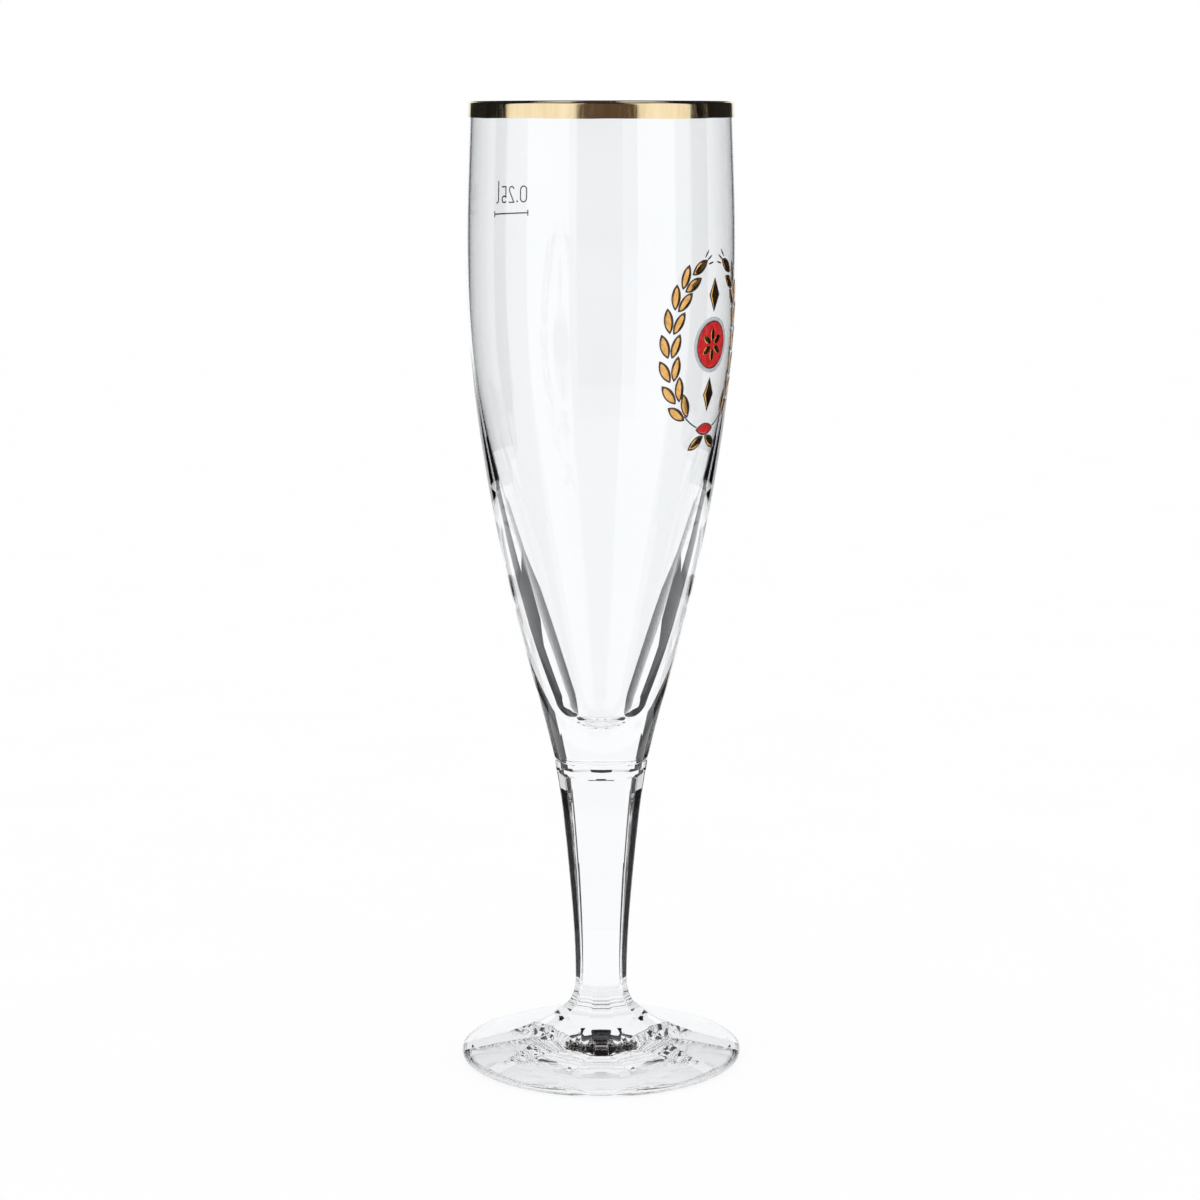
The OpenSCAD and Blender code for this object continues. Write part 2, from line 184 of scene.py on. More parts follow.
# Cards of the light tent, seen only in the glass and the gold. A turn is in degrees from the
# camera's side; a flag's two turns are from the back, and it stands on the left and the right.
CARD_STEPS = 24
FAR = 500 * MM
CARD_FOOT, CARD_TOP = -0.2, 1.2
BLACK = (0.01, 0.01, 0.012)
DIM = (0.5, 0.51, 0.53)
WARM_DARK = (0.1, 0.07, 0.052)
GLASS_WHITE = (0.975, 0.986, 1.0)
FLAGS = (
    # name, near turn, far turn, radius, foot, top
    ("cup_flag", 48, 96, 78 * MM, 0.13, 0.5),
    ("base_flag", 35, 95, 175 * MM, 0.105, 0.15),
    ("band_flag", 31, 46, 123 * MM, 0.062, 0.1),
    ("wall_flag", 26, 62, 125 * MM, 0.036, 0.062),
    ("stem_flag", 36, 58, 64 * MM, 0.012, 0.068),
    ("far_flag", 27, 42, 340 * MM, -0.02, 0.05),
)
SIDE_LEFT, SIDE_RIGHT, FRONT = (-113, -86), (80, 100), (-20, 30)
SOFT_LEFT, SOFT_RIGHT = (-86, -20), (30, 80)
FRONT_STOPS = (0.17, 0.2)
BACK, BACK_H = (130, 230), 0.42
TOP_BACK, TOP_BACK_R = (100, 260), FAR * 1.05
LID_R, LID_SIDES = 1.5, 64

# Flat black cards in millimetres: one on the table on each side, by x and y, and one at the back
TABLE_CARD, TABLE_CARD_Z = ((32, 38), (118, 300), (212, 300), (106, 44), (60, 12)), 0.5
ARCH = ((-150, 430), (-100, 345), (-50, 300), (0, 285), (50, 300), (100, 345), (150, 430))
ARCH_AT = 470

# Table
TABLE_W, TABLE_GAP = 6, 0.05 * MM
TABLE_CLOUD, TABLE_LOW, TABLE_HIGH = (20, 3), (0.95, 0.95, 0.95), (0.99, 0.99, 0.99)
TABLE_ROUGH = (0.6, 0.8)
TABLE_GLOW = 0.88


def curve(a, b, c, d, steps):
    """Points on a cubic curve from a to d, drawn towards b and c."""
    points = []
    for i in range(steps + 1):
        t = i / steps
        u = 1 - t
        shares = (u**3, 3 * u * u * t, 3 * u * t * t, t**3)
        points.append(tuple(sum(s * p[k] for s, p in zip(shares, (a, b, c, d))) for k in (0, 1)))
    return points


def swept(a, d, low, high, steps):
    """A curve whose handles lie at shares of the way from a to d."""
    b, c = (tuple(a[k] + (d[k] - a[k]) * share[k] for k in (0, 1)) for share in (low, high))
    return curve(a, b, c, d, steps)


def arc(centre, radius, start, end, steps):
    """Points of an arc, with its angles in degrees."""
    angles = [math.radians(start + (end - start) * i / steps) for i in range(steps + 1)]
    return [(centre[0] + radius * math.cos(a), centre[1] + radius * math.sin(a)) for a in angles]


LIP_R = WALL_T / 2
LIP_Z = GLASS_H - LIP_R
BELLY_Z = GLASS_H - BELLY_DROP
FLOOR_Z = WELD_Z + BASE_T
OUTER_WALL = (
    swept((WELD_R, WELD_Z + WELD_GROOVE), (BELLY_R, BELLY_Z),
          WALL_LOW_SHARES, WALL_HIGH_SHARES, WALL_STEPS)
    + swept((BELLY_R, BELLY_Z), (RIM_R, LIP_Z),
            UPPER_LOW_SHARES, UPPER_HIGH_SHARES, UPPER_STEPS)[1:]
)
INNER_WALL = (
    swept((0, FLOOR_Z), (WELL_R, FLOOR_Z + WELL_H), WELL_LOW_SHARES, WELL_HIGH_SHARES, WELL_STEPS)
    + swept((WELL_R, FLOOR_Z + WELL_H), (BELLY_R - WALL_T, BELLY_Z),
            CUP_LOW_SHARES, CUP_HIGH_SHARES, WALL_STEPS)[1:]
    + swept((BELLY_R - WALL_T, BELLY_Z), (RIM_R - WALL_T, LIP_Z),
            UPPER_LOW_SHARES, UPPER_HIGH_SHARES, UPPER_STEPS)[1:]
)


def one_point(name, place):
    """Starts a piece from a plane merged to one selected point, and stays in edit mode."""
    bpy.ops.object.select_all(action="DESELECT")
    bpy.ops.mesh.primitive_plane_add(size=MM)
    piece = bpy.context.object
    piece.name = piece.data.name = name
    bpy.ops.object.mode_set(mode="EDIT")
    bpy.ops.mesh.select_all(action="SELECT")
    bpy.ops.mesh.merge(type="CENTER")
    bpy.ops.transform.translate(value=place)
    return piece


def spun(name, outline):
    """Draws an outline of radius and height point by point, then spins it round the axis."""
    places = [Vector((r, 0, z)) for r, z in outline]
    piece = one_point(name, places[0])
    for here, there in zip(places, places[1:]):
        bpy.ops.mesh.extrude_region_move(TRANSFORM_OT_translate={"value": there - here})
    bpy.ops.mesh.select_all(action="SELECT")
    bpy.ops.mesh.spin(steps=AROUND, angle=math.tau, center=(0, 0, 0), axis=(0, 0, 1))
    bpy.ops.mesh.select_all(action="SELECT")
    bpy.ops.mesh.remove_doubles(threshold=MERGE)
    bpy.ops.mesh.normals_make_consistent(inside=False)
    bpy.ops.object.mode_set(mode="OBJECT")
    return piece


def smooth(piece, angle):
    """Shades a piece smooth, but for edges sharper than the angle in degrees."""
    bpy.ops.object.select_all(action="DESELECT")
    piece.select_set(True)
    bpy.context.view_layer.objects.active = piece
    bpy.ops.object.shade_smooth_by_angle(angle=math.radians(angle))


def blown_bowl():
    """The bowl, one thick-walled cup with a solid base, spun from its section."""
    lip = arc((RIM_R - LIP_R, LIP_Z), LIP_R, 0, 180, LIP_STEPS)
    under = [(0, WELD_Z), (WELD_R - WELD_GROOVE, WELD_Z)]
    piece = spun("blown_bowl", under + OUTER_WALL + lip[1:-1] + INNER_WALL[::-1])
    smooth(piece, SMOOTH)
    return piece


def flat_sided_start(name, z):
    """Starts a piece from the flat-sided face of the waist, its arrises round, a flat in front."""
    corner_r = WAIST_W / 2 / math.cos(math.pi / FLATS)
    bpy.ops.object.select_all(action="DESELECT")
    bpy.ops.mesh.primitive_circle_add(vertices=FLATS, radius=corner_r, fill_type="NGON")
    piece = bpy.context.object
    piece.name = piece.data.name = name
    bpy.ops.object.mode_set(mode="EDIT")
    bpy.ops.mesh.select_all(action="SELECT")
    bpy.ops.transform.rotate(
        value=math.pi / FLATS, orient_axis="Z", center_override=(0, 0, 0))
    bpy.ops.transform.translate(value=(0, 0, z))
    bpy.ops.mesh.bevel(affect="VERTICES", offset=ARRIS, segments=ARRIS_STEPS)
    bpy.ops.mesh.select_mode(type="EDGE")
    bpy.ops.mesh.select_all(action="DESELECT")
    mesh = bmesh.from_edit_mesh(piece.data)
    for edge in mesh.edges:
        edge.select_set(edge.calc_length() > WAIST_W / FLATS)
    bmesh.update_edit_mesh(piece.data)
    bpy.ops.mesh.subdivide(number_cuts=FLAT_CUTS)
    bpy.ops.mesh.select_mode(type="VERT")
    bpy.ops.mesh.select_all(action="SELECT")
    return piece


def extrude_to(place):
    """Extrudes the selected face and puts each of its points where place says."""
    bpy.ops.mesh.extrude_region_move()
    data = bpy.context.object.data
    mesh = bmesh.from_edit_mesh(data)
    for point in mesh.verts:
        if point.select:
            point.co = place(point.co)
    bmesh.update_edit_mesh(data)


def on_flat(co):
    """Which way the flat of a point faces, and the point's places out from and along that flat."""
    turn = math.atan2(co.y, co.x) + math.pi / 2
    facing = round(turn / (math.tau / FLATS)) * math.tau / FLATS - math.pi / 2
    out = co.x * math.cos(facing) + co.y * math.sin(facing)
    along = co.y * math.cos(facing) - co.x * math.sin(facing)
    return facing, out, along


def widened(r0, r1, z):
    """Brings a flat-sided ring from one half width to another, its round arrises as they are."""
    half0, half1 = (r * math.tan(math.pi / FLATS) for r in (r0, r1))

    def placed(co):
        facing, out, along = on_flat(co)
        if r0 - out > ON_FLAT:
            along = math.copysign(half1 - (half0 - abs(along)), along)
        else:
            along *= (half1 - ARRIS) / (half0 - ARRIS)
        out += r1 - r0
        x = out * math.cos(facing) - along * math.sin(facing)
        y = out * math.sin(facing) + along * math.cos(facing)
        return Vector((x, y, z))
    return placed


def finish_pressed(piece, angle):
    """Points the faces outwards, leaves edit mode and shades the piece."""
    bpy.ops.mesh.select_all(action="SELECT")
    bpy.ops.mesh.normals_make_consistent(inside=False)
    bpy.ops.object.mode_set(mode="OBJECT")
    smooth(piece, angle)


def pressed_stem():
    """The stem: the flats widen up to the collar and end under it in low arches."""
    collar_z = WELD_Z - COLLAR_H
    side = swept((WAIST_W / 2, WAIST_Z), (STEM_TOP_W / 2, collar_z),
                 STEM_LOW_SHARES, STEM_HIGH_SHARES, STEM_STEPS)
    piece = flat_sided_start("pressed_stem", WAIST_Z)
    for (r0, _), (r1, z1) in zip(side, side[1:]):
        extrude_to(widened(r0, r1, z1))

    def to_collar(co):
        across = math.hypot(co.x, co.y)
        rise = COLLAR_R - across
        return Vector((co.x * COLLAR_R / across, co.y * COLLAR_R / across, co.z + rise))

    def round_at(radius, z):
        return lambda co: Vector((co.x, co.y, 0)).normalized() * radius + Vector((0, 0, z))

    extrude_to(to_collar)
    extrude_to(round_at(COLLAR_R + COLLAR_SWELL, collar_z + COLLAR_STEP_H))
    extrude_to(round_at(WELD_R, WELD_Z - WELD_GROOVE))
    extrude_to(round_at(WELD_R - WELD_GROOVE, WELD_Z))
    finish_pressed(piece, STEM_SMOOTH)
    return piece


def pressed_foot():
    """The foot: flats flare from the waist over the disc to its round edge, hollow underneath."""
    nose_r = EDGE_T / 2
    nose_at = FOOT_R - nose_r
    waist, run_out = (WAIST_W / 2, WAIST_Z), (FLARE_W / 2, FLARE_Z)
    edge = (nose_at * math.cos(math.pi / FLATS), EDGE_T)
    flare = swept(waist, run_out, FLARE_LOW_SHARES, FLARE_HIGH_SHARES, FLARE_STEPS)
    slope = swept(run_out, edge, SLOPE_LOW_SHARES, SLOPE_HIGH_SHARES, SLOPE_STEPS)
    fall = (slope[-1][1] - slope[-2][1]) / (slope[-1][0] - slope[-2][0])
    flat_part = [place for place in slope if place[0] < edge[0] - EDGE_T * 2]

    piece = flat_sided_start("pressed_foot", WAIST_Z)
    side = flare + flat_part[1:]
    for (r0, _), (r1, z1) in zip(side, side[1:]):
        extrude_to(widened(r0, r1, z1))

    def at(co, r, last):
        facing, out, _ = on_flat(co)
        across = math.hypot(co.x, co.y)
        return on_slope(slope, r * out / across + last - out, fall)

    last = side[-1][0]
    meets = {}
    for point in bmesh.from_edit_mesh(piece.data).verts:
        if point.select:
            near, far = nose_at, FOOT_R
            for _ in range(HALVINGS):
                middle = (near + far) / 2
                nose_z = nose_r + math.sqrt(nose_r**2 - (middle - nose_at) ** 2)
                below = at(point.co, middle, last) < nose_z
                near, far = (middle, far) if below else (near, middle)
            meets[math.atan2(point.co.y, point.co.x)] = (
                near, at(point.co, near, last), point.co.copy())

    def column(co):
        turn = math.atan2(co.y, co.x)
        return meets[min(meets, key=lambda t: abs(t - turn))]

    def place(r_and_z):
        def placed(co):
            r, z = r_and_z(*column(co))
            return Vector((co.x, co.y, 0)).normalized() * r + Vector((0, 0, z))
        return placed

    for step in range(1, EDGE_STEPS + 1):
        def towards_edge(r, z, start):
            across = math.hypot(start.x, start.y)
            here = across + (r - across) * step / EDGE_STEPS
            return here, at(start, here, last)
        extrude_to(place(towards_edge))
    for step in range(1, NOSE_STEPS + 1):
        def on_nose(r, z, start):
            top = math.atan2(z - nose_r, r - nose_at)
            turn = top + (-math.pi / 2 - top) * step / NOSE_STEPS
            return nose_at + math.cos(turn) * nose_r, nose_r + math.sin(turn) * nose_r
        extrude_to(place(on_nose))
    for step in range(UNDER_STEPS):
        radius = HOLLOW_R * (1 - step / UNDER_STEPS)
        rise = HOLLOW_H * (1 - (radius / HOLLOW_R) ** 2)
        extrude_to(place(lambda r, z, start: (radius, rise)))
    bpy.ops.mesh.merge(type="CENTER")
    finish_pressed(piece, FOOT_SMOOTH)
    return piece


def on_slope(slope, r, fall):
    """Height of the slope at a distance across the flats, past its end along its last fall."""
    for (r0, z0), (r1, z1) in zip(slope, slope[1:]):
        if r <= r1:
            return z0 + (z1 - z0) * (r - r0) / (r1 - r0)
    return slope[-1][1] + (r - slope[-1][0]) * fall


HEIGHTS = [z for _, z in OUTER_WALL]


def wall_r(z):
    """Outside radius of the bowl at a height."""
    i = min(max(bisect.bisect_left(HEIGHTS, z), 1), len(HEIGHTS) - 1)
    (r0, z0), (r1, z1) = OUTER_WALL[i - 1:i + 1]
    return r0 + (r1 - r0) * (z - z0) / (z1 - z0)


def gold_rim():
    """The fired gold band over the lip, with a slightly uneven lower edge."""
    low = GLASS_H - BAND_H
    heights = [low + (LIP_Z - low) * i / BAND_STEPS for i in range(BAND_STEPS + 1)]
    centre = (RIM_R - LIP_R, LIP_Z)

    def skin(away):
        lip = arc(centre, LIP_R + away, 0, 180, LIP_STEPS)
        return [(wall_r(z) + away, z) for z in heights] + lip[1:]

    under, over = skin(-EMBED), skin(GOLD_T)
    piece = spun("gold_band", under + over[::-1] + under[:1])
    for point in piece.data.vertices:
        x, y, z = point.co
        if z < low + BAND_H / 2:
            turn = math.atan2(y, x)
            uneven = sum(size * math.sin(waves * turn + shift) for size, waves, shift in BAND_WAVES)
            point.co.z += uneven * MM * (1 - (z - low) / (BAND_H / 2))
    smooth(piece, SMOOTH)
    return piece


def begin(name):
    """Starts an empty piece and stays in edit mode."""
    piece = one_point(name, (0, 0, 0))
    bpy.ops.mesh.delete(type="VERT")
    return piece


def patch(grid, place):
    """Adds a patch of small faces and puts each of its points where place says."""
    u_steps, v_steps = grid
    bpy.ops.mesh.select_all(action="DESELECT")
    bpy.ops.mesh.primitive_grid_add(x_subdivisions=u_steps, y_subdivisions=v_steps, size=2)
    data = bpy.context.object.data
    mesh = bmesh.from_edit_mesh(data)
    for point in mesh.verts:
        if point.select:
            u = round((point.co.x + 1) / 2 * u_steps) / u_steps
            v = round((point.co.y + 1) / 2 * v_steps) / v_steps
            point.co = place(u, v)
    bmesh.update_edit_mesh(data)


def on_wall(azimuth, z, x=0, lean=0):
    """Wraps a flat drawing on the wall, its x to the right of someone facing it and its y up."""
    radius = wall_r(z)
    c, s = math.cos(math.radians(lean)), math.sin(math.radians(lean))

    def wrapped(point):
        along = x + point[0] * c - point[1] * s
        height = z + point[0] * s + point[1] * c
        turn = math.radians(azimuth) + along / radius
        r = wall_r(height) - EMBED
        return Vector((math.sin(turn) * r, -math.cos(turn) * r, height))
    return wrapped


def draw(places, shape, grid):
    """Draws a shape at each of the places on the wall."""
    for place in places:
        patch(grid, lambda u, v: place(shape(u, v)))


def fired(piece):
    """Joins the patches of a print, turns them outwards and gives them their thickness."""
    bpy.ops.mesh.select_all(action="SELECT")
    bpy.ops.mesh.remove_doubles(threshold=MERGE)
    bpy.ops.mesh.select_all(action="DESELECT")
    mesh = bmesh.from_edit_mesh(piece.data)
    mesh.normal_update()
    for face in mesh.faces:
        middle = face.calc_center_median()
        face.select_set(face.normal.x * middle.x + face.normal.y * middle.y < 0)
    bmesh.update_edit_mesh(piece.data)
    bpy.ops.mesh.flip_normals()
    bpy.ops.object.mode_set(mode="OBJECT")
    solid = piece.modifiers.new("thickness", "SOLIDIFY")
    solid.thickness = PRINT_T + EMBED
    solid.offset = 1
    smooth(piece, SMOOTH)
    return piece


def turned(shape, degrees, away=0):
    """A shape moved away from the middle and then turned round it."""
    c, s = math.cos(math.radians(degrees)), math.sin(math.radians(degrees))

    def moved(u, v):
        x, y = shape(u, v)
        y += away
        return x * c - y * s, x * s + y * c
    return moved


def lens(length, width):
    """Length and half width of a pointed oval, such as a grain or a petal."""
    radius = (length**2 + width**2) / (4 * width)
    return length, lambda y: math.sqrt(max(radius**2 - y**2, 0)) - radius + width / 2


def lozenge(length, width):
    """Length and half width of a straight-sided diamond."""
    return length, lambda y: width / 2 - abs(y) * width / length


def filled(form):
    """All of a form, from side to side."""
    length, half = form

    def shape(u, v):
        y = (u - 0.5) * length
        return (2 * v - 1) * half(y), y
    return shape


def lined(inner, outer):
    """The line between two forms round the same middle."""
    def on(form, u):
        length, half = form
        y = length * (2 * min(u, 1 - u) - 0.5)
        return (half(y) if u < 0.5 else -half(y)), y

    def shape(u, v):
        (x0, y0), (x1, y1) = on(inner, u), on(outer, u)
        return x0 + (x1 - x0) * v, y0 + (y1 - y0) * v
    return shape


def ring(r0, r1):
    """A flat ring between two radii."""
    def shape(u, v):
        r = r0 + (r1 - r0) * v
        return r * math.cos(math.tau * u), r * math.sin(math.tau * u)
    return shape


def fine(path):
    """A path with its long stretches divided."""
    points = [path[0]]
    for (x0, y0), (x1, y1) in zip(path, path[1:]):
        steps = max(1, math.ceil(math.hypot(x1 - x0, y1 - y0) / LONGEST_STEP))
        points += [(x0 + (x1 - x0) * i / steps, y0 + (y1 - y0) * i / steps)
                   for i in range(1, steps + 1)]
    return points


def stroke(place, path, width=STROKE_W):
    """Draws a line of even width along a path."""
    path = fine(path)
    last = len(path) - 1

    def shape(u, v):
        i = round(u * last)
        into = Vector(path[max(i, 1)]) - Vector(path[max(i, 1) - 1])
        out = Vector(path[min(i, last - 1) + 1]) - Vector(path[min(i, last - 1)])
        side_in, side_out = (Vector((-d.y, d.x)).normalized() for d in (into, out))
        middle = (side_in + side_out).normalized()
        across = middle / middle.dot(side_in) * width * (v - 0.5)
        return path[i][0] + across.x, path[i][1] + across.y
    draw([place], shape, (last, 1))


def fill_line():
    """The capacity line with an upright tick at each end."""
    piece = begin("capacity_line")
    place = on_wall(MARK_AZIMUTH, FILL_Z)
    half = MARK_W / 2
    stroke(place, [(-half - STROKE_W / 2, 0), (half + STROKE_W / 2, 0)])
    for side in (-half, half):
        for sign in (-1, 1):
            stroke(place, [(side, sign * STROKE_W / 2), (side, sign * TICK_H / 2)])
    return fired(piece)


def fill_figures():
    """The figures over the line: nought, point, two, five and the letter for litre."""
    piece = begin("capacity_figures")
    base_z = FILL_Z + FIGURE_GAP
    nought, point, two, five, litre = (
        on_wall(MARK_AZIMUTH, base_z, share * PITCH) for share in PLACE_SHARES)

    def oval(width, height, u):
        turn = math.tau * (u % 1)
        rise = math.copysign((height - width) / 2, math.sin(turn))
        return math.cos(turn) * width / 2, math.sin(turn) * width / 2 + rise + FIGURE_H / 2

    def nought_shape(u, v):
        inset = STROKE_W * 2 * v
        return oval(NOUGHT_SHARE * PITCH - inset, FIGURE_H - inset, u)
    draw([nought], nought_shape, (NOUGHT_STEPS, 1))

    dot = POINT_SHARE * PITCH
    stroke(point, [(-dot / 2, STROKE_W), (dot / 2, STROKE_W)], dot)

    width = FIGURE_SHARE * PITCH
    radius, low = (width - STROKE_W) / 2, STROKE_W / 2
    crown = arc((0, FIGURE_H - radius - low), radius, *CROWN_TURN, BEND_STEPS)
    stroke(two, crown + [(-radius, low)])
    stroke(two, [(-width / 2, low), (width / 2, low)])

    belly = arc((0, radius + low), radius, *BELLY_TURN, BEND_STEPS)
    top = FIGURE_H - low
    stroke(five, [(width / 2, top), (belly[0][0], top), (belly[0][0], belly[0][1] - low)])
    stroke(five, belly)

    radius = HOOK_SHARE * PITCH - STROKE_W
    hook = arc((radius, radius + low), radius, *HOOK_TURN, HOOK_STEPS)
    stroke(litre, [(0, FIGURE_H * LITRE_SHARE)] + hook)
    return fired(piece)


def on_oval(turn):
    """Place on the oval of the wreath, by degrees up from its bottom."""
    angle = math.radians(turn)
    return WREATH_HALF[0] * math.sin(angle), -WREATH_HALF[1] * math.cos(angle)


def across_oval(turn):
    """Direction in which an ear lies across the oval there, in degrees."""
    angle = math.radians(turn)
    climb = math.atan2(WREATH_HALF[1] * math.sin(angle), WREATH_HALF[0] * math.cos(angle))
    return math.degrees(climb) - 90


def on_print(x, y, lean=0):
    """A place on the wall by its distances from the middle of the print."""
    return on_wall(PRINT_AZIMUTH, PRINT_Z + y, x, lean)


def grain_places():
    """Places of the grains: pairs up each side of the wreath, leaning away from its oval."""
    spread = GRAIN_W * ROW_SHARE + LINE_W
    places = []
    for i in range(GRAIN_PAIRS):
        turn = EAR_START + i * (EAR_END - EAR_START) / GRAIN_PAIRS
        across = across_oval(turn)
        for side in (-1, 1):
            for row in (-1, 1):
                x, y = on_oval(turn)
                x += spread * row * math.cos(math.radians(across))
                y += spread * row * math.sin(math.radians(across))
                places.append(on_print(side * x, y, side * (across - GRAIN_LEAN * row)))
    return places


GRAINS = grain_places()
TIP_X, TIP_Y = on_oval(EAR_END)
EAR_TIPS = [on_print(side * TIP_X, TIP_Y, side * across_oval(EAR_END)) for side in (-1, 1)]
LEAF_Y = -WREATH_HALF[1] - TIE_H * LEAF_DROP_SHARE
LEAVES = [on_print(side * TIE_W / 2, LEAF_Y, side * LEAF_LEAN) for side in (-1, 1)]
TIE = on_print(0, -WREATH_HALF[1])
MEDALLION = on_print(0, 0)
LOZENGE_Y = MEDALLION_R + RING_W + LINE_W * 4 + LOZENGE_H * LOZENGE_PLACE_SHARE
LOZENGES = [on_print(0, side * LOZENGE_Y) for side in (-1, 1)]


def print_gold():
    """The gold: grains, leaves, petals and lozenges."""
    piece = begin("gold_print")
    draw(GRAINS + EAR_TIPS + LEAVES, filled(lens(GRAIN_L, GRAIN_W)), GRAIN_GRID)
    petal = filled(lens(PETAL_L, PETAL_W))
    for i in range(PETALS):
        draw([MEDALLION], turned(petal, i * 360 / PETALS, PETAL_OUT), GRAIN_GRID)
    draw(LOZENGES, filled(lozenge(LOZENGE_H, LOZENGE_W)), GRAIN_GRID)
    return fired(piece)


def print_dark():
    """The dark lines round the gold and red, the bristles and the stalks."""
    piece = begin("dark_print")
    line = lined(lens(GRAIN_L, GRAIN_W), lens(GRAIN_L + LINE_W * 4, GRAIN_W + LINE_W * 2))
    draw(GRAINS + EAR_TIPS + LEAVES, line, OUTLINE_GRID)
    root = GRAIN_L / 2 + LINE_W
    bristle = filled(lens(BRISTLE_L, BRISTLE_L * BRISTLE_SHARE))
    for fan in (-1, 0, 1):
        draw(EAR_TIPS, turned(bristle, fan * BRISTLE_FAN, root + BRISTLE_L / 2), BRISTLE_GRID)
    line = lined(lens(TIE_W, TIE_H), lens(TIE_W + LINE_W * 4, TIE_H + LINE_W * 2))
    draw([TIE], turned(line, 90), OUTLINE_GRID)
    start = math.degrees(math.asin((TIE_W / 2 + LINE_W) / WREATH_HALF[0]))
    stalk = [on_oval(start + (STALK_END - start) * i / STALK_STEPS)
             for i in range(STALK_STEPS + 1)]
    for side in (-1, 1):
        stroke(TIE, [(side * x, y + WREATH_HALF[1]) for x, y in stalk])
    grown = LINE_W * 2 * LOZENGE_H / LOZENGE_W
    line = lined(lozenge(LOZENGE_H, LOZENGE_W),
                 lozenge(LOZENGE_H + grown, LOZENGE_W + LINE_W * 2))
    draw(LOZENGES, line, OUTLINE_GRID)
    draw([MEDALLION], ring(MEDALLION_R, MEDALLION_R + LINE_W), DARK_RING_GRID)
    return fired(piece)


def print_red():
    """The red medallion, open where the petals lie, and the tie."""
    piece = begin("red_print")
    length, half = lens(PETAL_L, PETAL_W)

    def between(i):
        def shape(u, v):
            out = u * MEDALLION_R
            beside = half(out - PETAL_OUT) if abs(out - PETAL_OUT) < length / 2 else 0
            margin = math.atan2(beside, out) if out else 0
            start, end = (math.tau * k / PETALS + m for k, m in ((i, margin), (i + 1, -margin)))
            turn = start + (end - start) * v + math.pi / 2
            r = math.hypot(out, beside)
            return r * math.cos(turn), r * math.sin(turn)
        return shape

    for i in range(PETALS):
        draw([MEDALLION], between(i), RED_GRID)
    draw([TIE], turned(filled(lens(TIE_W, TIE_H)), 90), TIE_GRID)
    return fired(piece)


def print_silver():
    """The silver-grey ring round the medallion."""
    piece = begin("silver_print")
    inner = MEDALLION_R + LINE_W
    draw([MEDALLION], ring(inner, inner + RING_W), SILVER_RING_GRID)
    return fired(piece)


def node(tree, kind, **values):
    """Adds a node to a tree and sets its named properties or inputs."""
    made = tree.nodes.new(kind)
    for key, value in values.items():
        if key in made.inputs:
            made.inputs[key].default_value = value
        else:
            setattr(made, key, value)
    return made


def group(name, inputs, outputs):
    """Starts a shared effect, a node group with named inputs and outputs."""
    tree = bpy.data.node_groups.new(name, "ShaderNodeTree")
    for label in inputs:
        tree.interface.new_socket(name=label, in_out="INPUT", socket_type="NodeSocketFloat")
    for label, kind in outputs:
        tree.interface.new_socket(name=label, in_out="OUTPUT", socket_type=kind)
    return tree, node(tree, "NodeGroupInput").outputs, node(tree, "NodeGroupOutput").inputs


def noise(tree, scale, detail, stretch=(1, 1, 1)):
    """Noise on the object's own coordinates, stretched along its axes."""
    coords = node(tree, "ShaderNodeTexCoord")
    mapping = node(tree, "ShaderNodeMapping", Scale=stretch)
    cloud = node(tree, "ShaderNodeTexNoise", Scale=scale, Detail=detail)
    tree.links.new(coords.outputs["Object"], mapping.inputs["Vector"])
    tree.links.new(mapping.outputs["Vector"], cloud.inputs["Vector"])
    return cloud.outputs[0]


def ranged(tree, value, low, high, start=0.3, end=0.7):
    """Spreads a noise between two values."""
    spread = node(tree, "ShaderNodeMapRange")
    for i, number in enumerate((start, end, low, high), 1):
        spread.inputs[i].default_value = number
    tree.links.new(value, spread.inputs[0])
    return spread


def ramp(tree, value, low, high, start=0.3, end=0.7):
    """Turns a value into a colour between two, which it reaches at start and end."""
    made = node(tree, "ShaderNodeValToRGB")
    stops = ((start, low), (end, high))
    for element, (place, colour) in zip(made.color_ramp.elements, stops):
        element.position = place
        element.color = (*colour, 1)
    tree.links.new(value, made.inputs[0])
    return made.outputs[0]


def bumped(tree, value, strength, distance):
    """Relief from a noise."""
    bump = node(tree, "ShaderNodeBump", Strength=strength, Distance=distance)
    tree.links.new(value, bump.inputs["Height"])
    return bump


def glass_effects():
    """What clear glass shares: a breath of tint, a faint film and slow waves from the making."""
    tree, given, out = group("glass_effects", ("Film Roughness", "Wave Strength"), (
        ("Tint", "NodeSocketColor"), ("Film", "NodeSocketFloat"), ("Waves", "NodeSocketVector")))
    tint = ramp(tree, noise(tree, *TINT_CLOUD), TINT_LOW, TINT_HIGH)
    film = ranged(tree, noise(tree, *FILM_CLOUD), 0, 1, *FILM_SPREAD)
    waves = bumped(tree, noise(tree, *WAVE_CLOUD), 1, WAVE_H)
    tree.links.new(given["Film Roughness"], film.inputs["To Max"])
    tree.links.new(given["Wave Strength"], waves.inputs["Strength"])
    tree.links.new(tint, out["Tint"])
    tree.links.new(film.outputs[0], out["Film"])
    tree.links.new(waves.outputs[0], out["Waves"])
    return tree


